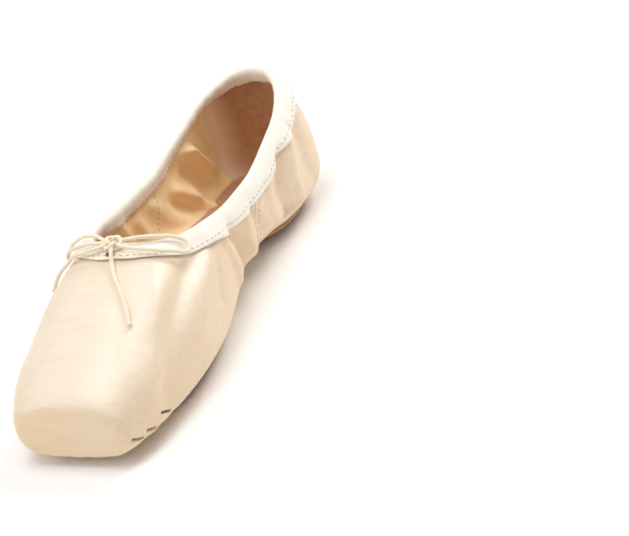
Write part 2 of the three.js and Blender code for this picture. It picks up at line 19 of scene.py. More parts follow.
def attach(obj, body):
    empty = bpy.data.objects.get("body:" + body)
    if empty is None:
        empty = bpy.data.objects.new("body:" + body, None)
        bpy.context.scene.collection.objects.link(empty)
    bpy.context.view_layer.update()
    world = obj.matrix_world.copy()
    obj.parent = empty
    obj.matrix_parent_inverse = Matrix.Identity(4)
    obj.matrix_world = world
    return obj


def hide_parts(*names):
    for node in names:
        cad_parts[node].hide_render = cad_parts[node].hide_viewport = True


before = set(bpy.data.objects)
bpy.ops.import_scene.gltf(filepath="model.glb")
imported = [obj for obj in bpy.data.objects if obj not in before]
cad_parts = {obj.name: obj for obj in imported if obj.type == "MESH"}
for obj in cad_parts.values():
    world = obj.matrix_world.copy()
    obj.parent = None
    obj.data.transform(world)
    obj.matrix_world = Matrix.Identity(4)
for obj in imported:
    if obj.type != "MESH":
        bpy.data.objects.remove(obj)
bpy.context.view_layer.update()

# %% [markdown]
# The maker's sizes are in millimetres and count from the tip of the toe, so one helper turns such a
# place into Blender's metres. The shoe's middle lies at the origin, and +Y points at the heel.

# %% Places on the shoe
MM = 0.001
TOE_TO_MIDDLE = 116.3


def place(x, y, z):
    """A point in metres, from millimetres counted from the toe tip."""
    return Vector((x, y - TOE_TO_MIDDLE, z)) * MM


# %% [markdown]
# ## Camera
#
# The photograph looks down on the vamp from the front, a little from the shoe's right side, and the
# shoe leans to one side in it. The shoe here stands flat, so the camera keeps the same angle to the
# shoe and rolls instead. Its place is built from two angles, a roll and a distance.

# %% Camera at the photograph's angle
azimuth, elevation, roll = (math.radians(a) for a in (31.9, 29.7, -17.7))
distance = 1.157
focal_pixels = 2731
image_width = 629
aim = Vector((0.0815, -0.0221, 0.0374))

level = Vector((math.cos(azimuth), math.sin(azimuth), 0))
back = Vector((0, 0, math.sin(elevation))) + level.cross(Vector((0, 0, 1))) * math.cos(elevation)
upright = back.cross(level)
side = level * math.cos(roll) + upright * math.sin(roll)
top = upright * math.cos(roll) - level * math.sin(roll)

lens = bpy.data.cameras.new("camera")
lens.sensor_width = 36
lens.lens = lens.sensor_width * focal_pixels / image_width
camera = bpy.data.objects.new("camera", lens)
turn = Matrix((side, top, back)).transposed().to_4x4()
camera.matrix_world = Matrix.Translation(aim + back * distance) @ turn
bpy.context.scene.collection.objects.link(camera)
bpy.context.scene.camera = camera
print("camera at", [round(v, 3) for v in aim + back * distance])

# %% [markdown]
# ## Helpers for materials
#
# One helper turns a hex colour, as a paint chart gives it, into the linear light that Blender counts
# in. Another adds a node with its settings, so that each finish below reads as a short list. Patterns
# are sized by the millimetres between their marks, and worn things drift between two colours.

# %% Colours and nodes


def linear(hex_colour):
    """An sRGB hex colour as linear red, green, blue and alpha."""
    parts = [int(hex_colour[i : i + 2], 16) / 255 for i in (1, 3, 5)]
    return [p / 12.92 if p <= 0.04045 else ((p + 0.055) / 1.055) ** 2.4 for p in parts] + [1]


def add(tree, kind, inputs=(), **settings):
    """Adds one shader node. Each input is a value, or the output that it takes."""
    node = tree.nodes.new("ShaderNode" + kind)
    for name, value in settings.items():
        setattr(node, name, value)
    for name, value in dict(inputs).items():
        if isinstance(value, bpy.types.NodeSocket):
            tree.links.new(value, node.inputs[name])
        else:
            node.inputs[name].default_value = value
    return node


def new_material(name):
    """An empty material, with its node tree and its Object coordinates."""
    material = bpy.data.materials.new(name)
    material.use_nodes = True
    tree = material.node_tree
    tree.nodes.clear()
    print("material:", name)
    return material, tree, add(tree, "TexCoord").outputs["Object"]


def apart(millimetres):
    """The Scale of a pattern whose marks are this far apart."""
    return 1 / (millimetres * MM)


def mottled(tree, spot, patch, detail, low, high, roughness=0.5):
    """A colour that drifts from low to high in soft patches, patch millimetres apart."""
    patches = add(
        tree,
        "TexNoise",
        {"Vector": spot, "Scale": apart(patch), "Detail": detail, "Roughness": roughness},
    )
    colour = add(
        tree,
        "Mix",
        {"Factor": patches.outputs["Fac"], "A": linear(low), "B": linear(high)},
        data_type="RGBA",
    )
    return colour.outputs["Result"]


# %% [markdown]
# ## Elastic cord
#
# The drawstring is elastic with a braided cotton cover, 1.8 mm thick. Short fibres scatter the light,
# so it is matt. The braid is too fine to show, so it is drawn coarser, as bumps about 0.7 mm apart.

# %% Braided elastic
elastic, tree, spot = new_material("braided_elastic")
braid = add(tree, "TexVoronoi", {"Vector": spot, "Scale": apart(0.667)})
relief = add(tree, "Bump", {"Strength": 0.5, "Distance": 0.15 * MM, "Height": braid.outputs["Distance"]})
covering = add(
    tree,
    "BsdfPrincipled",
    {
        "Base Color": linear("#f5e6cc"),
        "Roughness": 0.75,
        "Normal": relief.outputs["Normal"],
        "Sheen Weight": 0.3,
    },
)
add(tree, "OutputMaterial", {"Surface": covering.outputs["BSDF"]})

# %% [markdown]
# ## The bow
#
# The drawstring comes out at the middle of the throat and is tied in a small bow. A curve with a round
# bevel is the plain way to make such a cord. Each strand follows the points of its CAD tube and goes on
# into the knot.

# %% Routes of the bow
CORD_RADIUS = 0.9
LOOP_LEFT = [
    (-2.2, 76.5, 64.1),
    (-5.2, 77.6, 64.0),
    (-10.7, 81.1, 63.6),
    (-18.4, 84.4, 61.7),
    (-25.6, 86.7, 58.1),
    (-30.5, 86.3, 53.9),
    (-30.5, 83.2, 51.5),
    (-27.1, 80.1, 56.4),
    (-19.4, 78.0, 60.5),
    (-11.8, 76.7, 62.8),
    (-5.5, 75.6, 63.6),
    (-2.4, 75.5, 63.9),
]
LOOP_RIGHT = [
    (2.4, 76.9, 64.1),
    (5.2, 77.8, 64.0),
    (10.7, 80.2, 63.5),
    (17.3, 83.4, 61.9),
    (23.8, 87.0, 59.0),
    (29.0, 87.6, 55.4),
    (30.2, 84.2, 53.9),
    (25.9, 79.4, 56.9),
    (18.8, 75.5, 60.2),
    (11.7, 73.8, 62.1),
    (5.3, 73.8, 63.3),
    (2.4, 74.7, 63.7),
]
END_LEFT = [
    (-2.4, 74.8, 63.6),
    (-5.1, 73.6, 63.1),
    (-11.7, 72.5, 61.7),
    (-19.2, 73.0, 59.3),
    (-25.8, 74.9, 53.9),
    (-32.6, 75.1, 47.9),
    (-37.4, 73.6, 40.3),
]
END_RIGHT = [
    (0.7, 73.6, 63.7),
    (1.2, 70.7, 62.7),
    (3.0, 65.7, 58.4),
    (6.6, 59.7, 56.6),
    (11.7, 53.1, 53.8),
    (16.8, 46.1, 50.1),
    (20.4, 39.1, 46.5),
]


def cord_piece(name, points, closed=False):
    """A round cord along points, as a curve of one spline."""
    curve = bpy.data.curves.new(name, "CURVE")
    curve.dimensions = "3D"
    curve.bevel_depth = CORD_RADIUS * MM
    curve.bevel_resolution = 4
    curve.resolution_u = 8
    curve.use_fill_caps = not closed
    spline = curve.splines.new("BEZIER")
    spline.bezier_points.add(len(points) - 1)
    spline.use_cyclic_u = closed
    for point, at in zip(spline.bezier_points, points):
        point.co = at
        point.handle_left_type = point.handle_right_type = "AUTO"
    curve.materials.append(elastic)
    piece = bpy.data.objects.new(name, curve)
    bpy.context.scene.collection.objects.link(piece)
    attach(piece, "root")
    return piece


# %% [markdown]
# A real knot is a tangle that is hard to follow. The simplest one that holds is a trefoil, a closed
# curve that goes twice round and passes over and under itself three times, so the knot is drawn so. It
# leans with the casing that it sits on.

# %% Knot
KNOT_RADIUS = 2.6
KNOT_STEPS = 30
ROUNDS = 2
WEAVES_A_ROUND = 1.5
knot_seat = place(0, 75.9, 63.66)
knot_up = Vector((0, -0.163, 0.987)).to_track_quat("Z", "Y")
knot_points = []
for i in range(KNOT_STEPS):
    walk = i / KNOT_STEPS * 2 * ROUNDS * math.pi
    spread = KNOT_RADIUS * (2 + math.cos(WEAVES_A_ROUND * walk)) / 2
    rise = KNOT_RADIUS * math.sin(WEAVES_A_ROUND * walk) / 2
    point = Vector((spread * math.cos(walk), spread * math.sin(walk), rise)) * MM
    knot_points.append(knot_seat + knot_up @ point)
knot = cord_piece("bow_knot_tied", knot_points, closed=True)
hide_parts("bow_knot")

# %% [markdown]
# Two loops and two ends leave the knot. Each is a cord along its own curve.

# %% Strands
strands = {
    "loop_left": LOOP_LEFT,
    "loop_right": LOOP_RIGHT,
    "end_left": END_LEFT,
    "end_right": END_RIGHT,
}
for name, route in strands.items():
    points = [place(*p) for p in route]
    strand = cord_piece("cord_" + name, points)
    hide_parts("bow_" + name)

# %% [markdown]
# ## Satin
#
# Satin is woven so that one set of threads floats on top, which gives a smooth face with a soft, broad
# sheen, much stronger than plain cloth has, so its IOR is high. The real threads are about 0.1 mm apart
# and would not show, so they are drawn 0.8 mm apart, as thin streaks across the shoe. The cloth is
# pulled wet over the box, so its colour and gloss drift a little, and a wide, low relief gives it the
# unevenness of cloth stretched by hand. A painted sheen makes the colour paler where the cloth faces
# up, and leaves it more golden down the sides. Deep in a tuck, painted shade makes the cloth brown.

# %% Duchess satin
satin, tree, spot = new_material("duchess_satin")
drift = add(tree, "TexNoise", {"Vector": spot, "Scale": apart(62.5), "Detail": 2, "Roughness": 0.4})
tone = add(tree, "ValToRGB", {"Fac": drift.outputs["Fac"]})
tone.color_ramp.elements[0].position = 0.3
tone.color_ramp.elements[0].color = linear("#e6c79d")
tone.color_ramp.elements[1].position = 0.7
tone.color_ramp.elements[1].color = linear("#eed3b0")
across = add(tree, "Mapping", {"Vector": spot, "Scale": (0.12, 1, 1)})
threads = add(tree, "TexNoise", {"Vector": across.outputs["Vector"], "Scale": apart(0.8), "Detail": 2})
slub = add(tree, "TexNoise", {"Vector": across.outputs["Vector"], "Scale": apart(3.03), "Detail": 4})
weave = add(tree, "Mix", {"Factor": 0.55, "A": threads.outputs["Fac"], "B": slub.outputs["Fac"]})
streak = add(
    tree,
    "MapRange",
    {
        "Value": weave.outputs["Result"],
        "From Min": 0.35,
        "From Max": 0.65,
        "To Min": 0.96,
        "To Max": 1.05,
    },
)
# Painted sheen: the colour is paler where the cloth faces up and more golden down the sides.
faces = add(tree, "SeparateXYZ", {"Vector": add(tree, "TexCoord").outputs["Normal"]})
sheen_mask = add(
    tree, "MapRange", {"Value": faces.outputs["Z"], "From Min": 0.2, "From Max": 0.9, "To Max": 0.75}
)
painted_sheen = add(
    tree,
    "Mix",
    {"Factor": sheen_mask.outputs["Result"], "A": tone.outputs["Color"], "B": linear("#f1e3d0")},
    data_type="RGBA",
)
shade = add(
    tree,
    "HueSaturation",
    {"Color": painted_sheen.outputs["Result"], "Value": streak.outputs["Result"]},
)
# Painted shade: deep in a tuck the colour goes dark brown.
tuck_shade = add(tree, "Attribute", attribute_name="tucked")
tuck_shaded = add(
    tree,
    "Mix",
    {"Factor": tuck_shade.outputs["Fac"], "A": shade.outputs["Color"], "B": linear("#6b4323")},
    data_type="RGBA",
)
pull = add(tree, "TexNoise", {"Vector": spot, "Scale": apart(23.8), "Detail": 2, "Roughness": 0.4})
stretch = add(tree, "Bump", {"Strength": 0.25, "Distance": 1.8 * MM, "Height": pull.outputs["Fac"]})
relief = add(
    tree,
    "Bump",
    {
        "Strength": 0.35,
        "Distance": 0.25 * MM,
        "Height": weave.outputs["Result"],
        "Normal": stretch.outputs["Normal"],
    },
)
gloss = add(
    tree,
    "MapRange",
    {"Value": drift.outputs["Fac"], "From Min": 0.3, "From Max": 0.7, "To Min": 0.37, "To Max": 0.46},
)
cloth = add(
    tree,
    "BsdfPrincipled",
    {
        "Base Color": tuck_shaded.outputs["Result"],
        "Roughness": gloss.outputs["Result"],
        "Normal": relief.outputs["Normal"],
        "IOR": 1.8,
        "Sheen Weight": 0.25,
        "Sheen Roughness": 0.45,
        "Sheen Tint": linear("#fff0dc"),
    },
)
add(tree, "OutputMaterial", {"Surface": cloth.outputs["BSDF"]})

# %% [markdown]
# ## Lining
#
# The lining is cotton drill, matt and more golden than the satin. Round the heel it gives way to brown
# suede, so that the foot doesn't slip. Both are on one surface, so the edge between them is worked out
# from the place on the shoe: it bulges back halfway down the wall. Near that edge a painted sheen makes
# the suede paler. The twill is too fine to show, so it is drawn as a grain about 0.7 mm apart.

# %% Cotton drill and heel suede
HEEL_EDGE = 97.5
HEEL_EDGE_HEIGHT = 30
HEEL_EDGE_BOW = 11
SUEDE_BROWNS = ("#a87454", "#d3a381")
lining, tree, spot = new_material("cotton_drill_lining")
parts = add(tree, "SeparateXYZ", {"Vector": spot})
height = add(tree, "Math", {0: parts.outputs["Z"], 1: -HEEL_EDGE_HEIGHT * MM}, operation="ADD")
bulge = add(tree, "Math", {0: height.outputs["Value"], 1: 2}, operation="POWER")
line = add(
    tree,
    "Math",
    {0: bulge.outputs["Value"], 1: -HEEL_EDGE_BOW, 2: HEEL_EDGE * MM},
    operation="MULTIPLY_ADD",
)
reach = add(tree, "Math", {0: parts.outputs["Y"], 1: line.outputs["Value"]}, operation="SUBTRACT")
heel_part = add(
    tree, "MapRange", {"Value": reach.outputs["Value"], "From Min": -0.3 * MM, "From Max": 0.3 * MM}
)
cotton = mottled(tree, spot, 18.2, 4, "#ffd794", "#fff0cb")
suede = mottled(tree, spot, 3.85, 5, *SUEDE_BROWNS, roughness=0.65)
# Painted sheen: the suede is paler near its edge with the cotton.
sheen_band = add(
    tree,
    "MapRange",
    {
        "Value": reach.outputs["Value"],
        "From Min": 4 * MM,
        "From Max": 12 * MM,
        "To Min": 0.9,
        "To Max": 0,
    },
)
sheen_painted_suede = add(
    tree,
    "Mix",
    {"Factor": sheen_band.outputs["Result"], "A": suede, "B": linear("#fbe2c8")},
    data_type="RGBA",
)
both = add(
    tree,
    "Mix",
    {
        "Factor": heel_part.outputs["Result"],
        "A": cotton,
        "B": sheen_painted_suede.outputs["Result"],
    },
    data_type="RGBA",
)
twill = add(tree, "TexNoise", {"Vector": spot, "Scale": apart(0.714), "Detail": 2})
relief = add(tree, "Bump", {"Strength": 0.25, "Distance": 0.2 * MM, "Height": twill.outputs["Fac"]})
cloth = add(
    tree,
    "BsdfPrincipled",
    {
        "Base Color": both.outputs["Result"],
        "Roughness": 0.85,
        "Normal": relief.outputs["Normal"],
        "Sheen Weight": 0.2,
    },
)
add(tree, "OutputMaterial", {"Surface": cloth.outputs["BSDF"]})

# %% [markdown]
# ## Tape
#
# The casing is cotton tape, woven with a fine rib, paler than the satin and matt. The rib is too fine to
# show, so it is drawn as a grain about 0.8 mm apart.

# %% Cotton tape
tape, tree, spot = new_material("cotton_tape")
cream = mottled(tree, spot, 14.3, 3, "#f7ecda", "#fdf8ee")
ribs = add(tree, "TexNoise", {"Vector": spot, "Scale": apart(0.769), "Detail": 2})
relief = add(tree, "Bump", {"Strength": 0.5, "Distance": 0.3 * MM, "Height": ribs.outputs["Fac"]})
cloth = add(
    tree,
    "BsdfPrincipled",
    {
        "Base Color": cream,
        "Roughness": 0.68,
        "Normal": relief.outputs["Normal"],
        "Sheen Weight": 0.3,
    },
)
add(tree, "OutputMaterial", {"Surface": cloth.outputs["BSDF"]})

# %% [markdown]
# ## Thread
#
# Sewing thread is twisted polyester, which keeps a slight shine. The upper is sewn with a golden one and
# the sole with a thicker, dark, waxed one, so one function makes both.

# %% Threads


def thread_material(name, colour):
    """Twisted sewing thread of one colour."""
    material, tree, spot = new_material(name)
    twist = add(tree, "TexNoise", {"Vector": spot, "Scale": apart(0.4)})
    relief = add(tree, "Bump", {"Strength": 0.3, "Distance": 0.1 * MM, "Height": twist.outputs["Fac"]})
    strand = add(
        tree,
        "BsdfPrincipled",
        {"Base Color": linear(colour), "Roughness": 0.5, "Normal": relief.outputs["Normal"]},
    )
    add(tree, "OutputMaterial", {"Surface": strand.outputs["BSDF"]})
    return material


thread = thread_material("polyester_thread", "#c9a070")
dark_thread = thread_material("waxed_sole_thread", "#4e3224")

# %% [markdown]
# ## Insole suede
#
# The insole is brushed suede, the same hide as round the heel. Its raised fibres scatter the light, so
# it is soft and quite matt, with a faint sheen at its edges.

# %% Brushed suede
brushed_suede, tree, spot = new_material("brushed_suede")
brown = mottled(tree, spot, 3.85, 5, *SUEDE_BROWNS, roughness=0.65)
fibres = add(tree, "TexNoise", {"Vector": spot, "Scale": apart(0.556), "Detail": 3})
relief = add(tree, "Bump", {"Strength": 0.4, "Distance": 0.2 * MM, "Height": fibres.outputs["Fac"]})
hide = add(
    tree,
    "BsdfPrincipled",
    {
        "Base Color": brown,
        "Roughness": 0.95,
        "Normal": relief.outputs["Normal"],
        "Sheen Weight": 0.35,
        "Sheen Roughness": 0.6,
    },
)
add(tree, "OutputMaterial", {"Surface": hide.outputs["BSDF"]})

# %% [markdown]
# ## Smooth pieces from plain solids
#
# The CAD solids are faceted. A copy is merged, its triangles are joined back into quads, and two
# levels of Subdivision Surface round it off. Building the pieces afresh would be the other way, but a
# copy keeps every piece exactly where it fits its neighbours.

# %% Copy and smooth a CAD piece


def link(name, mesh, slot, *materials):
    """Links a mesh to the scene as a piece of the shoe."""
    piece = bpy.data.objects.new(name, mesh)
    for material in materials:
        mesh.materials.append(material)
    bpy.context.scene.collection.objects.link(piece)
    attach(piece, "root")
    return piece


def smooth_copy(node, name, slot, *materials):
    """A subdivided copy of a CAD node, with its own mesh."""
    form = bmesh.new()
    form.from_mesh(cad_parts[node].data)
    bmesh.ops.remove_doubles(form, verts=form.verts, dist=0.01 * MM)
    bmesh.ops.join_triangles(
        form,
        faces=form.faces,
        angle_face_threshold=math.radians(50),
        angle_shape_threshold=math.radians(75),
    )
    cage = bpy.data.meshes.new(name + "_cage")
    form.to_mesh(cage)
    form.free()
    holder = bpy.data.objects.new(name + "_cage", cage)
    bpy.context.scene.collection.objects.link(holder)
    rounding = holder.modifiers.new("rounding", "SUBSURF")
    rounding.levels = rounding.render_levels = 2
    graph = bpy.context.evaluated_depsgraph_get()
    mesh = bpy.data.meshes.new_from_object(holder.evaluated_get(graph))
    mesh.name = name
    mesh.shade_smooth()
    bpy.data.objects.remove(holder)
    piece = link(name, mesh, slot, *materials)
    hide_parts(node)
    print(name, "has", len(mesh.vertices), "points")
    return piece


def refine(piece, wanted, cuts=3):
    """Cuts the wanted faces of a piece finer, for small relief."""
    form = bmesh.new()
    form.from_mesh(piece.data)
    faces = [face for face in form.faces if wanted(face)]
    edges = list({edge for face in faces for edge in face.edges})
    bmesh.ops.subdivide_edges(form, edges=edges, cuts=cuts, use_grid_fill=True)
    form.to_mesh(piece.data)
    form.free()
    piece.data.shade_smooth()
    print(piece.name, "now has", len(piece.data.vertices), "points")


def read_points(mesh):
    """A mesh's points, in millimetres from the toe tip, and the directions that they face."""
    points = np.empty(len(mesh.vertices) * 3)
    mesh.vertices.foreach_get("co", points)
    normals = np.empty(len(mesh.vertices) * 3)
    mesh.vertices.foreach_get("normal", normals)
    return points.reshape(-1, 3) / MM + (0, TOE_TO_MIDDLE, 0), normals.reshape(-1, 3)


def write_points(mesh, points):
    """Puts back points that are in millimetres from the toe tip."""
    mesh.vertices.foreach_set("co", ((points - (0, TOE_TO_MIDDLE, 0)) * MM).ravel())
    mesh.update()


FOOT_FRONT, FOOT_BACK, FOOT_HEIGHT = 16, 206, 24


def from_foot(points):
    """The direction away from the line down the middle of the foot, at each point."""
    middle = np.zeros_like(points)
    middle[:, 1] = np.clip(points[:, 1], FOOT_FRONT, FOOT_BACK)
    middle[:, 2] = FOOT_HEIGHT
    return points - middle


def faces_away(normals, away):
    """Whether each direction points the same way as the one beside it."""
    return np.einsum("ij,ij->i", normals, away) > 0


# %% [markdown]
# ## The upper
#
# Satin outside and cotton inside are one wall. A face that looks at the middle of the foot is lining.
# The satin under the toe is gathered into pleats, so the faces there are cut finer first.

# %% Upper
PLEATS_BACK = 42
PLEATS_TOP = 7
upper = smooth_copy("upper", "satin_upper", "satin", satin, lining)


def under_toe(face):
    """Whether a face lies where the satin is pleated."""
    spot = face.calc_center_median() / MM
    return spot.y + TOE_TO_MIDDLE < PLEATS_BACK and spot.z < PLEATS_TOP and face.normal.z < 0


refine(upper, under_toe, cuts=2)
centres = np.empty(len(upper.data.polygons) * 3)
upper.data.polygons.foreach_get("center", centres)
facing = np.empty(len(upper.data.polygons) * 3)
upper.data.polygons.foreach_get("normal", facing)
away = from_foot(centres.reshape(-1, 3) / MM + (0, TOE_TO_MIDDLE, 0))
inside = (np.einsum("ij,ij->i", facing.reshape(-1, 3), away) < 0).astype(np.int32)
upper.data.polygons.foreach_set("material_index", inside)
print("lining faces:", inside.sum())

# %% [markdown]
# ## The casing
#
# The casing is a folded tape that the elastic drawstring runs in. Its crest is found by looking straight
# down on it along the collar's plan, which repeats the maker's table. The lining's folds, the ripples
# and the casing's stitches all count from that line.

# %% Casing
casing = smooth_copy("drawstring_casing", "collar_casing", "casing_tape", tape)

COLLAR = [
    (0, 80.0),
    (9.9, 81.2),
    (16.9, 84.9),
    (22.3, 91.6),
    (25.8, 102.1),
    (27.6, 118.3),
    (27.6, 139.2),
    (26.4, 160.1),
    (25.0, 178.6),
    (22.9, 197.2),
    (19.2, 210.0),
    (14.2, 219.2),
    (7.9, 225.3),
    (0, 227.6),
]


def seen(*pieces):
    """A search tree over pieces, for looking at them."""
    form = bmesh.new()
    for piece in pieces:
        form.from_mesh(piece.data)
    tree = BVHTree.FromBMesh(form)
    form.free()
    return tree


def look(tree, start, direction):
    """Where a look from start first meets a piece, and the direction that it faces there."""
    hit, normal, _, _ = tree.ray_cast(start, direction)
    return hit, normal


ABOVE = 120


def look_down(tree, x, y):
    """What is met by looking straight down at a place in plan."""
    return look(tree, place(x, y, ABOVE), Vector((0, 0, -1)))


def collar_plan():
    """The collar from above: a smooth curve through the table, in steps of about a millimetre."""
    half = [Vector(row) for row in COLLAR]
    loop = half + [Vector((-p.x, p.y)) for p in half[-2:0:-1]]
    fine = []
    for i, here in enumerate(loop):
        before, after, later = loop[i - 1], loop[(i + 1) % len(loop)], loop[(i + 2) % len(loop)]
        steps = max(2, round((after - here).length))
        for t in (n / steps for n in range(steps)):
            fine.append(
                (
                    2 * here
                    + (after - before) * t
                    + (2 * before - 5 * here + 4 * after - later) * t * t
                    + (3 * here - before - 3 * after + later) * t**3
                )
                / 2
            )
    return fine


casing_seen = seen(casing)
crest = []
for point in collar_plan():
    hit, _ = look_down(casing_seen, point.x, point.y)
    crest.append(hit if hit else crest[-1])
round_collar = sum((b - a).length for a, b in zip(crest, crest[1:])) / MM
crest_line = np.array([p / MM for p in crest]) + (0, TOE_TO_MIDDLE, 0)
crest_finder = KDTree(len(crest_line))
for i, point in enumerate(crest_line):
    crest_finder.insert(point, i)
crest_finder.balance()
print("collar is", round(round_collar), "mm round")


def nearest_on_crest(points):
    """For each point, the number of the nearest crest point and how far off it is."""
    found = [crest_finder.find(point) for point in points]
    return np.array([number for _, number, _ in found]), np.array([off for _, _, off in found])


# %% [markdown]
# Cloth on a shoe that stands empty has slack where the stiff box ends. Each row gives one main fold:
# the points that it passes in millimetres from the toe tip, its width, and how far it stands out
# (above zero) or goes in. The outer folds press the casing too, so that it stays on the upper, and the
# lining's folds die out below it.

# %% Folds
OUTER_FOLDS = [
    {"path": [(29, 94, 50), (31, 74, 47), (34, 49, 39), (36, 27, 20)], "width": 5.5, "out": -2.1},
    {"path": [(34, 96, 43), (36, 80, 38), (38, 60, 28)], "width": 5, "out": 1.0},
    {"path": [(8, 66, 57), (15, 51, 52), (19, 40, 46), (22, 28, 41)], "width": 3.4, "out": -0.5},
    {"path": [(18, 73, 56), (24, 60, 51), (27, 44, 44)], "width": 5, "out": 0.7},
    {"path": [(-8, 70, 57), (-17, 58, 53), (-26, 48, 46), (-30, 36, 38)], "width": 5, "out": -0.6},
    {"path": [(-4, 66, 57), (-6, 50, 52), (-4, 34, 47)], "width": 5, "out": -0.35},
    {
        "path": [(-24, 3, 31), (-12, 1, 33), (0, 1, 33), (12, 1, 32), (24, 3, 29)],
        "width": 4.5,
        "out": -0.8,
    },
    {"path": [(27, 106, 51), (33, 96, 40), (37, 86, 28)], "width": 2.8, "out": -1.6},
    {"path": [(30, 119, 41), (31, 122, 36), (31, 124, 29), (29, 127, 18)], "width": 3.4, "out": -3.6},
    {"path": [(31, 110, 44), (33, 112, 33), (33, 112, 20)], "width": 3.4, "out": 2.1},
    {"path": [(29, 135, 38), (30, 133, 27), (28, 136, 14)], "width": 3.4, "out": 2.0},
    {"path": [(28, 142, 39), (29, 147, 28), (28, 150, 14)], "width": 3, "out": -1.7},
    {"path": [(29, 180, 42), (29, 172, 29), (29, 176, 16)], "width": 3.8, "out": -3.8},
    {"path": [(29, 190, 43), (30, 184, 28), (28, 186, 14)], "width": 3.8, "out": 2.0},
    {"path": [(29, 164, 41), (30, 160, 28), (29, 164, 14)], "width": 3.4, "out": 1.2},
    {"path": [(28, 200, 42), (28, 196, 28), (26, 202, 16)], "width": 3.8, "out": -2.1},
    {"path": [(29, 150, 12), (29, 166, 10), (27, 184, 16)], "width": 3.2, "out": -2.2},
    {"path": [(-29, 96, 50), (-32, 76, 46), (-34, 52, 38), (-36, 30, 20)], "width": 6, "out": -1.1},
    {"path": [(-29, 112, 47), (-33, 104, 38), (-35, 96, 24)], "width": 3.2, "out": -1.6},
    {"path": [(-30, 120, 44), (-31, 126, 36), (-30, 124, 22)], "width": 3.8, "out": -3.4},
    {"path": [(-30, 132, 40), (-30, 136, 30), (-29, 132, 16)], "width": 3.6, "out": 2.0},
    {"path": [(-29, 164, 40), (-29, 158, 30), (-29, 164, 18)], "width": 4.2, "out": -2.1},
    {"path": [(-29, 184, 42), (-29, 178, 32), (-28, 186, 20)], "width": 4.4, "out": -1.6},
    {"path": [(-14, 225, 44), (-8, 229, 30), (-14, 227, 16)], "width": 4.5, "out": -0.8},
    {"path": [(14, 225, 46), (9, 229, 34), (15, 226, 18)], "width": 4.5, "out": -0.8},
]
LINING_FOLDS = [
    {"path": [(-25, 177, 51), (-28, 194, 37), (-28, 205, 22), (-22, 210, 12)], "width": 3, "out": -6.5},
    {"path": [(-26, 168, 46), (-28, 186, 30), (-27, 198, 14)], "width": 4, "out": 1.1},
    {"path": [(-25, 188, 50), (-27, 202, 40), (-28, 209, 30)], "width": 3, "out": -1.6},
    {"path": [(-28, 170, 30), (-27, 184, 18), (-24, 190, 9)], "width": 3.4, "out": -4.6},
    {"path": [(-28, 150, 36), (-29, 158, 22), (-26, 170, 12)], "width": 3.6, "out": -2.4},
    {"path": [(-29, 134, 38), (-30, 140, 26), (-28, 136, 14)], "width": 4, "out": -2.6},
    {"path": [(-30, 116, 38), (-32, 120, 26), (-28, 126, 14)], "width": 4, "out": -2.2},
    {"path": [(25, 178, 50), (28, 192, 36), (28, 202, 22)], "width": 3.2, "out": -2.8},
    {"path": [(28, 158, 36), (28, 166, 22), (24, 176, 11)], "width": 4, "out": -2.4},
    {"path": [(29, 134, 38), (30, 140, 26), (28, 136, 14)], "width": 4, "out": -2.4},
    {"path": [(30, 116, 38), (32, 120, 26), (28, 126, 14)], "width": 4, "out": -2.2},
]


def distance_to(path, points):
    """How far each point is from a path of straight runs."""
    path = np.array(path, float)
    nearest = np.full(len(points), np.inf)
    for start, end in zip(path, path[1:]):
        run = end - start
        share = np.clip((points - start) @ run / (run @ run), 0, 1)
        gap = np.linalg.norm(points - start - share[:, None] * run, axis=1)
        nearest = np.minimum(nearest, gap)
    return nearest


BOX_BACK, QUARTERS_FRONT = 88, 110
QUARTERS_LEVEL = 0.9
LINING_HELD, LINING_FREE = 8, 13


def outward(points):
    """The way that the shoe's wall faces: round the box in front, and level along the quarters."""
    direction = from_foot(points)
    share = np.clip((points[:, 1] - BOX_BACK) / (QUARTERS_FRONT - BOX_BACK), 0, 1)
    direction[:, 2] *= 1 - QUARTERS_LEVEL * share
    return direction / np.linalg.norm(direction, axis=1)[:, None]


def press(piece, folds, lining_only=False):
    """Moves the points of a piece out or in along the folds."""
    points, normals = read_points(piece.data)
    way = outward(points)
    wanted = np.ones(len(points))
    if lining_only:
        _, below = nearest_on_crest(points)
        free = np.clip((below - LINING_HELD) / (LINING_FREE - LINING_HELD), 0, 1)
        wanted = free * (np.einsum("ij,ij->i", normals, way) < 0)
    amount = np.zeros(len(points))
    for fold in folds:
        amount += fold["out"] * np.exp(-((distance_to(fold["path"], points) / fold["width"]) ** 2))
    write_points(piece.data, points + way * (amount * wanted)[:, None])


press(upper, OUTER_FOLDS)
press(casing, OUTER_FOLDS)
press(upper, LINING_FOLDS, lining_only=True)
print(len(OUTER_FOLDS), "folds outside and", len(LINING_FOLDS), "in the lining")

# %% [markdown]
# Under the toe the satin is drawn in to the sole in pleats. They fan out from a point under the ball,
# so each is a narrow groove at one angle. Higher up, on each side of the box, three short slanting
# tucks show as dark slits, dark from their depth and from painted shade, and the cloth is full just
# below each.

# %% Pleats
PLEAT_CENTRE = 46
PLEAT_STEP = 9
PLEAT_DEPTH, PLEAT_WIDTH, PLEAT_PUFF = 1.6, 0.45, 0.15
PLEATS_FADE, PLEATS_REACH = 8, 17
PLEATS_EDGE, PLEATS_SOFTNESS = 4.6, 0.4
TUCK_DEPTH, TUCK_WIDTH = 2.6, 0.45
FULL_HEIGHT, FULL_WIDTH = 0.5, 1.3
BELOW_TUCK = Vector((0, 0.4, 1.5))
TUCKS_BACK, TUCKS_TOP, NEAR_TUCK = 30, 18, 3
TUCKS = [
    [(34.5, 21.3, 14.4), (34.8, 26.7, 11.5)],
    [(30.6, 12.2, 12.4), (32.9, 17.2, 9.2)],
    [(27.6, 4.6, 13.2), (30.2, 9.2, 9.8)],
]


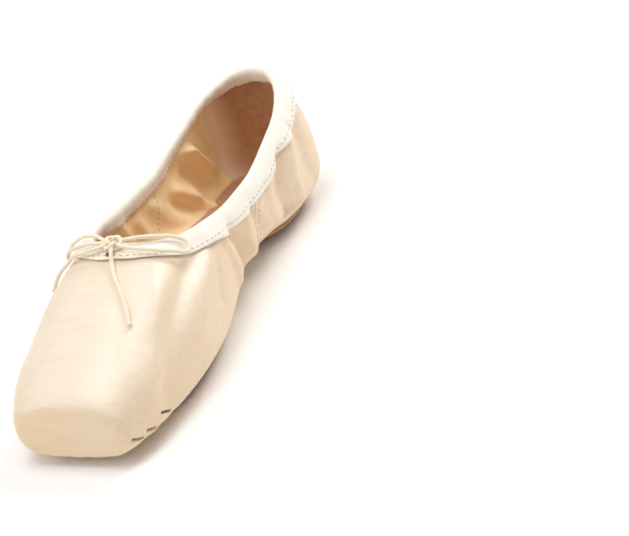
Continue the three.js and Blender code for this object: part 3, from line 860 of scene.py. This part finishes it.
def pleated(points, normals):
    """How far the pleats under the toe move each point out or in."""
    x, y, z = points.T
    angle = np.degrees(np.arctan2(np.abs(x), PLEAT_CENTRE - y)) / PLEAT_STEP - 0.5
    number = np.round(angle)
    reach = np.hypot(x, PLEAT_CENTRE - y)
    across = (angle - number) * np.radians(PLEAT_STEP) * reach
    low = np.clip((PLEATS_BACK - y) / PLEATS_FADE, 0, 1)
    low /= 1 + np.exp((z - PLEATS_EDGE) / PLEATS_SOFTNESS)
    groove = -PLEAT_DEPTH * np.exp(-((across / PLEAT_WIDTH) ** 2))
    puff = PLEAT_PUFF * np.cos((angle - number) * 2 * math.pi)
    here = faces_away(normals, from_foot(points)) & (reach > PLEATS_REACH)
    return np.where(here, (groove - puff) * low, 0)


def tucked(points, normals, ends):
    """One tuck: how far it moves each point, and how deep in the slit each is."""
    ends = [upper_seen.find_nearest(place(*end))[0] / MM for end in ends]
    ends = [Vector((end.x, end.y + TOE_TO_MIDDLE, end.z)) for end in ends]
    slit = distance_to(ends, points)
    fuller = distance_to([end - BELOW_TUCK for end in ends], points)
    faces_out = faces_away(normals, from_foot(points))
    deep = faces_out * np.exp(-((slit / TUCK_WIDTH) ** 2))
    full = FULL_HEIGHT * faces_out * np.exp(-((fuller / FULL_WIDTH) ** 2))
    return full - TUCK_DEPTH * deep, deep


def at_a_tuck(face):
    """Whether a satin face lies near a tuck, above the pleats."""
    spot = np.array(face.calc_center_median()) / MM + (0, TOE_TO_MIDDLE, 0)
    out = from_foot(spot[None])[0] @ np.array(face.normal) > 0
    spot[0] = abs(spot[0])
    on_box = spot[1] < TUCKS_BACK and PLEATS_TOP <= spot[2] < TUCKS_TOP
    return out and on_box and min(distance_to(tuck, spot[None])[0] for tuck in TUCKS) < NEAR_TUCK


refine(upper, at_a_tuck, cuts=4)
upper_seen = seen(upper)
points, normals = read_points(upper.data)
shape = pleated(points, normals)
shaded = np.zeros(len(points))
for side in (1, -1):
    for tuck in TUCKS:
        moved, deep = tucked(points, normals, [(side * x, y, z) for x, y, z in tuck])
        shape += moved
        shaded += deep
write_points(upper.data, points + normals * shape[:, None])
# How deep each point lies in a slit is kept as the tucks' painted shade.
upper.data.attributes.new("tucked", "FLOAT", "POINT").data.foreach_set("value", np.clip(shaded, 0, 1))

# %% [markdown]
# The elastic gathers the tape, so small ripples run across it, most at the heel and least over the
# stiff box. They are strongest at its sewn edge and run on a little way into the satin and, weaker, the
# lining. Two waves of different length, each with a drifting phase, keep them from looking regular.

# %% Ripples
RIPPLE_HEIGHT, MORE_AT_HEEL, LESS_AT_THROAT = 0.24, 0.26, 0.1
RIPPLES = [
    {"share": 1, "length": 9.3, "drift": 1.9, "drift_length": 11.1},
    {"share": 0.6, "length": 5.9, "drift": 2.3, "drift_length": 7.3},
]
SEWN_EDGE, RIPPLE_REACH = 7.5, 4
AT_CREST = 0.2
IN_LINING = 0.4
crest_steps = np.linalg.norm(np.diff(crest_line, axis=0), axis=1)
crest_walked = np.concatenate([[0], np.cumsum(crest_steps)])


def ripple(piece):
    """Moves a piece's points in and out along the collar."""
    points, normals = read_points(piece.data)
    nearest, depth = nearest_on_crest(points)
    run = crest_walked[nearest]
    heel_pull = np.clip((points[:, 1] - 180) / 30, 0, 1)
    throat_rest = np.clip((100 - points[:, 1]) / 15, 0, 1)
    strength = RIPPLE_HEIGHT + MORE_AT_HEEL * heel_pull - LESS_AT_THROAT * throat_rest
    gather = 0
    for wave in RIPPLES:
        drift = wave["drift"] * np.sin(run / wave["drift_length"])
        gather += wave["share"] * np.sin(run * 2 * math.pi / wave["length"] + drift)
    strength *= np.where(faces_away(normals, outward(points)), 1, IN_LINING)
    edge = np.exp(-(((depth - SEWN_EDGE) / RIPPLE_REACH) ** 2)) + AT_CREST * (depth < RIPPLE_REACH)
    moved = strength * gather * edge
    write_points(piece.data, points + outward(points) * moved[:, None])
    print(piece.name, "is rippled by up to", round(np.abs(moved).max(), 2), "mm")


ripple(casing)
ripple(upper)

# %% [markdown]
# ## Stitches
#
# Every seam is sewn with lockstitches about 2 mm long. A stitch is a small oval of few faces, and a
# row is many copies in one mesh, each laid along the seam. A row's points are found by looking at the
# shoe from outside or from inside, so that the thread lies on the cloth.

# %% Sewing


def sew(name, rows, length, pitch, thickness, material=thread, slot="satin"):
    """One mesh of stitches along rows of (point, direction that the cloth faces)."""
    form = bmesh.new()
    count = 0
    for row in rows:
        reach = 0.5 * pitch * MM
        for (a, facing), (b, _) in zip(row, row[1:]):
            step = b - a
            while reach < step.length:
                along = step.normalized()
                across = facing.cross(along).normalized()
                turn = Matrix((along, across, along.cross(across))).transposed().to_4x4()
                size = Matrix.Diagonal((length / 2 * MM, thickness / 2 * MM, thickness / 2 * MM, 1))
                spot = Matrix.Translation(a + along * reach)
                bmesh.ops.create_uvsphere(
                    form, u_segments=6, v_segments=4, radius=1, matrix=spot @ turn @ size
                )
                reach += pitch * MM
                count += 1
            reach -= step.length
    mesh = bpy.data.meshes.new(name)
    form.to_mesh(mesh)
    form.free()
    mesh.shade_smooth()
    print(name, "has", count, "stitches")
    return link(name, mesh, slot, material)


casing_seen = seen(casing)
upper_seen = seen(upper)
MIDDLE_FRONT, MIDDLE_BACK = -100, 87
OUTSIDE = 200


def down_from_collar(i, depth, inside=False):
    """The point on the casing this far down from its crest, outside or inside."""
    here = crest[i]
    ahead = crest[(i + 3) % len(crest)] - crest[i - 3]
    middle = Vector((0, min(max(here.y, MIDDLE_FRONT * MM), MIDDLE_BACK * MM), FOOT_HEIGHT * MM))
    up = (here - middle).normalized()
    away = ahead.cross(up).normalized()
    if away.z > 0:
        away = -away
    walked_down, last = 0, None
    for degrees in range(90):
        turn = math.radians(degrees)
        direction = (up * math.cos(turn) + away * math.sin(turn)).normalized()
        far = middle + direction * (OUTSIDE * MM)
        start, toward = (middle, direction) if inside else (far, -direction)
        hit, normal = look(casing_seen, start, toward)
        if hit is None:
            continue
        if last is not None:
            walked_down += (hit - last[0]).length
        if walked_down >= depth * MM:
            return hit, normal
        last = hit, normal
    return last


OUTSIDE_ROW, INSIDE_ROW = 8.4, 4.0
outside_row = [down_from_collar(i, OUTSIDE_ROW) for i in range(0, len(crest), 2)]
inside_row = [down_from_collar(i, INSIDE_ROW, inside=True) for i in range(0, len(crest), 2)]
rows = [outside_row + outside_row[:1], inside_row + inside_row[:1]]
sew("casing_stitches", rows, length=2.2, pitch=3.1, thickness=0.4, slot="casing_tape")

# %% [markdown]
# The drawstring leaves the casing through a worked buttonhole in front of the knot. A real opening would
# have to be cut through the tape, so the shade inside it is painted instead, as a dark flat lens sunk in
# it, with a ring of close stitches round it.

# %% Buttonhole
HOLE = (-1.1, 72.3)
HOLE_SIZE = (1.7, 1.1, 0.25)
RING_SIZE = (1.9, 1.3)
RING_STEPS = 32
hole_at, hole_up = look_down(casing_seen, *HOLE)
hole_turn = hole_up.to_track_quat("Z", "Y").to_matrix().to_4x4()
# Painted shade: a dark lens stands for the shadow inside the opening.
form = bmesh.new()
lens_size = Matrix.Diagonal([half * MM for half in HOLE_SIZE] + [1])
lens_seat = Matrix.Translation(hole_at) @ hole_turn @ lens_size
bmesh.ops.create_uvsphere(form, u_segments=24, v_segments=12, radius=1, matrix=lens_seat)
hole_shade_mesh = bpy.data.meshes.new("buttonhole_shade")
form.to_mesh(hole_shade_mesh)
form.free()
hole_shade_mesh.shade_smooth()
link("buttonhole_shade", hole_shade_mesh, "casing_tape", dark_thread)
ring = []
for i in range(RING_STEPS + 1):
    turn = i / RING_STEPS * 2 * math.pi
    x, y = HOLE[0] + RING_SIZE[0] * math.cos(turn), HOLE[1] + RING_SIZE[1] * math.sin(turn)
    ring.append(look_down(casing_seen, x, y))
sew("buttonhole_stitches", [ring], length=0.9, pitch=0.7, thickness=0.6, slot="casing_tape")

# %% [markdown]
# The side seams lean back as they rise, the back seam stands straight, and a seam runs along the arch
# between the two soles. Each has a row of stitches on both sides of it, and the side seams show inside
# as well.

# %% Seam stitches
SEAM_FOOT, SEAM_TOP = 137, 149
SEAM_LOW, SEAM_RISE = 4, 34
BESIDE, BEHIND, BELOW = 80, 300, -40
STEEP = 0.3
SEAM_HALF = 3
LINING_SHIFT = 6
ARCH_HALF = 2
ACROSS_ARCH = range(-20, 21, 2)


def side_row(side, shift, inside=False):
    """Points up one side, shift millimetres from the seam, outside or inside."""
    row = []
    for height in range(5, 40):
        y = SEAM_FOOT + (SEAM_TOP - SEAM_FOOT) * (height - SEAM_LOW) / SEAM_RISE + shift
        start = place(0 if inside else side * BESIDE, y, height)
        hit, normal = look(upper_seen, start, Vector((side if inside else -side, 0, 0)))
        if hit and abs(normal.x) > STEEP:
            row.append((hit, normal))
    return row


def under_row(points, tree=upper_seen):
    """Points on the underside, along points in plan."""
    row = [look(tree, place(x, y, BELOW), Vector((0, 0, 1))) for x, y in points]
    return [point for point in row if point[0]]


def back_row(shift, heights):
    """Points up the back of the heel, shift millimetres from the middle."""
    row = [look(upper_seen, place(shift, BEHIND, height), Vector((0, -1, 0))) for height in heights]
    return [point for point in row if point[0]]


both_sides = (-SEAM_HALF, SEAM_HALF)
rows = [side_row(side, shift) for side in (-1, 1) for shift in both_sides]
rows += [side_row(side, LINING_SHIFT, inside=True) for side in (-1, 1)]
rows += [under_row([(x, SEAM_FOOT + shift) for x in ACROSS_ARCH]) for shift in both_sides]
rows += [under_row([(shift, y) for y in range(121, 154, 2)]) for shift in (-ARCH_HALF, ARCH_HALF)]
rows += [back_row(shift, range(12, 52)) for shift in both_sides]
sew("seam_stitches", rows, length=2.0, pitch=2.7, thickness=0.36)

# %% [markdown]
# Where two panels meet, the turned edges stand up as a fine rib between the rows of stitches. A thin
# curve partly sunk in the satin is enough for it.

# %% Seam ribs
RIB_RADIUS = 0.45
RIB_SUNK = 0.15
ribs = [side_row(side, 0) for side in (-1, 1)]
ribs.append(under_row([(x, SEAM_FOOT) for x in ACROSS_ARCH]))
ribs += [under_row([(0, y) for y in along]) for along in (range(108, 136, 3), range(139, 160, 3))]
ribs.append(back_row(0, range(9, 53, 2)))
rib_curve = bpy.data.curves.new("seam_ribs", "CURVE")
rib_curve.dimensions = "3D"
rib_curve.bevel_depth = RIB_RADIUS * MM
rib_curve.bevel_resolution = 2
rib_curve.use_fill_caps = True
for rib in ribs:
    spline = rib_curve.splines.new("POLY")
    spline.points.add(len(rib) - 1)
    for point, (at, facing) in zip(spline.points, rib):
        point.co = (at - facing * RIB_SUNK * MM).to_4d()
link("seam_ribs", rib_curve, "satin", satin)
print("ribs:", len(ribs))

# %% [markdown]
# ## Insole
#
# The insole is a thin suede sock over board. It keeps its CAD shape, rounded at the edge.

# %% Insole
smooth_copy("insole", "suede_insole", "insole_suede", brushed_suede)

# %% [markdown]
# ## Soles
#
# The split sole is two pieces of firm, tanned leather, quite matt from wear. It is browner deep in its
# grooves, so its colour reads an attribute that says how deep in a groove each point is. Its grain
# is drawn about 1.1 mm apart, coarser than it is, so that it shows.

# %% Sole leather
leather, tree, spot = new_material("sole_leather")
pressed = add(tree, "Attribute", attribute_name="pressed")
tan = mottled(tree, spot, 22.2, 4, "#a8744f", "#c6946f")
groove_browned = add(
    tree,
    "Mix",
    {"Factor": pressed.outputs["Fac"], "A": tan, "B": linear("#7d5035")},
    data_type="RGBA",
)
grain = add(tree, "TexVoronoi", {"Vector": spot, "Scale": apart(1.11)})
relief = add(tree, "Bump", {"Strength": 0.3, "Distance": 0.2 * MM, "Height": grain.outputs["Distance"]})
hide = add(
    tree,
    "BsdfPrincipled",
    {
        "Base Color": groove_browned.outputs["Result"],
        "Roughness": 0.62,
        "Normal": relief.outputs["Normal"],
    },
)
add(tree, "OutputMaterial", {"Surface": hide.outputs["BSDF"]})

# %% [markdown]
# Wavy grooves are pressed into each sole for grip. They nest like ripples, with their rounded tips
# towards the toe on the front piece and towards the back on the heel piece. Bump alone would look flat
# from the side, so the underside is cut finer and the grooves are pressed into the mesh.

# %% Soles
GROOVE_STEP = 4.1
GROOVE_DEPTH, GROOVE_WIDTH = 0.45, 0.55
WAVE_SLOPE, WAVE_HEIGHT, WAVE_RATE = 0.3, 2.6, 0.21
BEFORE_TIP, AFTER_LAST = 2, 8
FLAT_FACE, FLAT_POINT = -0.8, -0.9
soles = {
    "outsole_forefoot": {"name": "front_sole", "tip": 26, "toward": 1, "grooves": 9},
    "outsole_heel": {"name": "heel_sole", "tip": 211, "toward": -1, "grooves": 7},
}
for node, facts in soles.items():
    sole = smooth_copy(node, facts["name"], "sole_leather", leather)
    tip, toward, grooves = facts["tip"], facts["toward"], facts["grooves"]
    last = tip + toward * (GROOVE_STEP * grooves + AFTER_LAST)
    low, high = sorted((tip - toward * BEFORE_TIP, last))

    def grooved(face):
        """Whether a face lies on the part of the underside that has grooves."""
        y = face.calc_center_median().y / MM + TOE_TO_MIDDLE
        return face.normal.z < FLAT_FACE and low < y < high

    refine(sole, grooved)
    points, normals = read_points(sole.data)
    out = np.abs(points[:, 0])
    wave = WAVE_SLOPE * out + WAVE_HEIGHT * (1 - np.cos(out * WAVE_RATE))
    level = (toward * (points[:, 1] - tip) - wave) / GROOVE_STEP
    number = np.round(level)
    off = np.abs(level - number) * GROOVE_STEP
    wanted = (normals[:, 2] < FLAT_POINT) & (number >= 0) & (number < grooves)
    wanted &= (points[:, 1] > low) & (points[:, 1] < high)
    groove = np.where(wanted, np.exp(-((off / GROOVE_WIDTH) ** 2)), 0)
    points[:, 2] += GROOVE_DEPTH * groove
    write_points(sole.data, points)
    pressed = sole.data.attributes.new("pressed", "FLOAT", "POINT")
    pressed.data.foreach_set("value", groove)

# %% [markdown]
# The heel piece has a border of dark stitches. They are sunk a little into the leather, so that the shoe
# doesn't stand on them.

# %% Heel sole stitches
OVAL_MIDDLE, OVAL_HALF = 190, 19.2
OVAL_FRONT, OVAL_BACK = 31, 23
OVAL_STEPS = 60


def sunk(row, depth):
    """The row, raised by depth millimetres into the sole."""
    return [(at + Vector((0, 0, depth * MM)), facing) for at, facing in row]


heel_seen = seen(bpy.data.objects["heel_sole"])
oval = []
for i in range(OVAL_STEPS + 1):
    turn = i / OVAL_STEPS * 2 * math.pi
    reach = OVAL_FRONT if math.cos(turn) < 0 else OVAL_BACK
    oval.append((OVAL_HALF * math.sin(turn), OVAL_MIDDLE + reach * math.cos(turn)))
rows = [sunk(under_row(oval, heel_seen), 0.3)]
sew(
    "heel_sole_stitches",
    rows,
    length=1.7,
    pitch=2.6,
    thickness=0.7,
    material=dark_thread,
    slot="sole_leather",
)

# %% [markdown]
# A pinhole from lasting is left near the back of the front sole. The shade inside it is painted as a
# small dark dot.

# %% Pinhole
front_seen = seen(bpy.data.objects["front_sole"])
rows = [sunk(under_row([(0, 107), (0, 109)], front_seen), 0.5)]
sew(
    "sole_pinhole_shade",
    rows,
    length=1.3,
    pitch=2,
    thickness=1.3,
    material=dark_thread,
    slot="sole_leather",
)

# %% [markdown]
# ## Floor and light
#
# The photograph has a white background, so the shoe stands on a large sheet of white paper. It is only
# there for the picture and isn't part of the shoe.

# %% Floor
FLOOR_HALF = 4
form = bmesh.new()
bmesh.ops.create_grid(form, x_segments=1, y_segments=1, size=FLOOR_HALF)
floor_mesh = bpy.data.meshes.new("floor")
form.to_mesh(floor_mesh)
form.free()
floor = bpy.data.objects.new("floor", floor_mesh)
paper, tree, _ = new_material("paper_sweep")
sheet = add(tree, "BsdfPrincipled", {"Base Color": linear("#ffffff"), "Roughness": 0.9})
add(tree, "OutputMaterial", {"Surface": sheet.outputs["BSDF"]})
floor_mesh.materials.append(paper)
bpy.context.scene.collection.objects.link(floor)

# %% [markdown]
# The studio light in it is soft and even. Three large lamps shape the satin: one above the vamp, one at
# the left and one behind. A dim white sky fills the shadows.

# %% Lamps
SKY_STRENGTH = 0.41


def lamp(name, spot, size, watts):
    """A soft square lamp that shines at the shoe."""
    data = bpy.data.lights.new(name, "AREA")
    data.size, data.energy = size, watts
    made = bpy.data.objects.new(name, data)
    made.location = spot
    made.rotation_euler = (-Vector(spot)).to_track_quat("-Z", "Y").to_euler()
    bpy.context.scene.collection.objects.link(made)
    print(name, watts, "W")


lamp("key_light", (-0.05, -0.2, 1.45), 0.9, 9.6)
lamp("left_light", (-1.0, -0.7, 0.8), 1.0, 5)
lamp("back_light", (0.5, 0.8, 1.1), 0.6, 9)
sky = bpy.data.worlds.new("studio")
sky.use_nodes = True
background = sky.node_tree.nodes["Background"]
background.inputs["Color"].default_value = (1, 1, 1, 1)
background.inputs["Strength"].default_value = SKY_STRENGTH
bpy.context.scene.world = sky
bpy.context.scene.view_settings.view_transform = "Standard"
